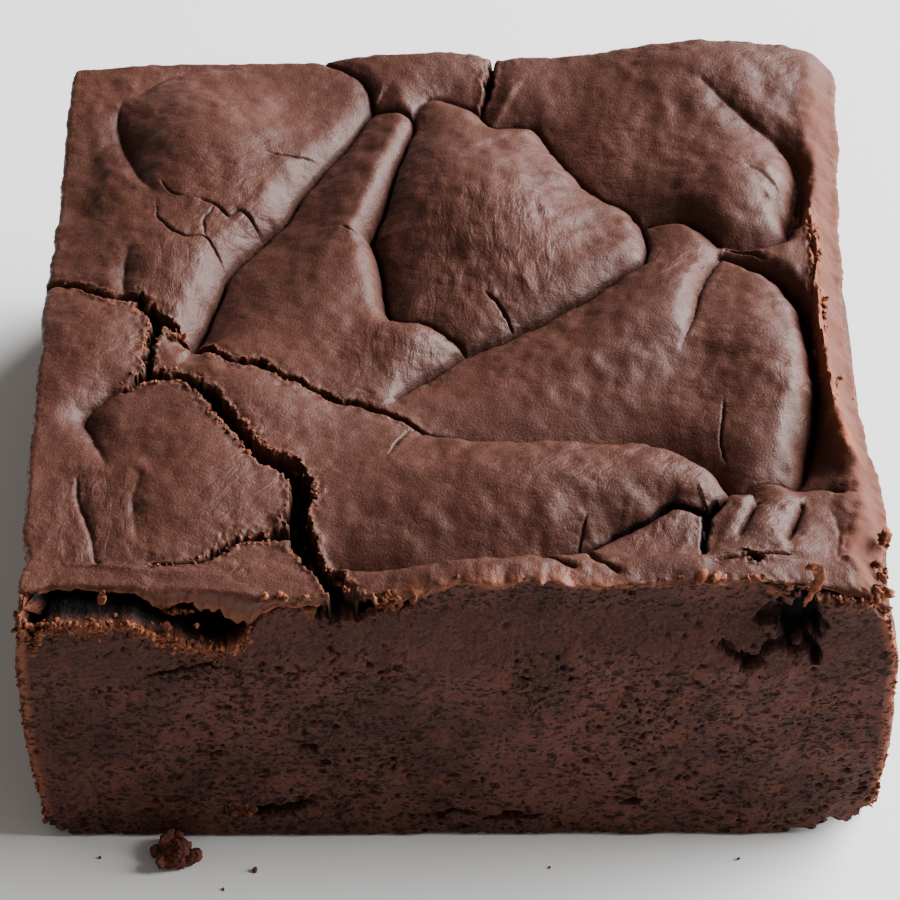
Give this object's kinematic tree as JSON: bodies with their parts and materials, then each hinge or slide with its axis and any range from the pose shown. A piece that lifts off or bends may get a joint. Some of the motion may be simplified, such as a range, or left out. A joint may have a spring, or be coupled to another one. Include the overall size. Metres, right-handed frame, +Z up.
{
  "type": "chocolate brownie",
  "caption": "Thick square chocolate brownie, cut from a tray, with a folded and cracked glossy crust over a fudgy, fine-pored crumb; stands flat on its base.",
  "frame": {"origin": "on the resting plane, under the middle of the piece's box", "axes": "+Z up out of the crust; +Y from the front cut face to the back; +X to the right, towards the side with the raised rim"},
  "size_m": [0.072, 0.0698, 0.032],
  "materials": {
    "crust": "semi-gloss baked cocoa skin, wrinkled",
    "crumb": "matt, fine-pored fudgy cake"
  },
  "bodies": {
    "root": {"brownie": "crust"}
  },
  "joints": []
}
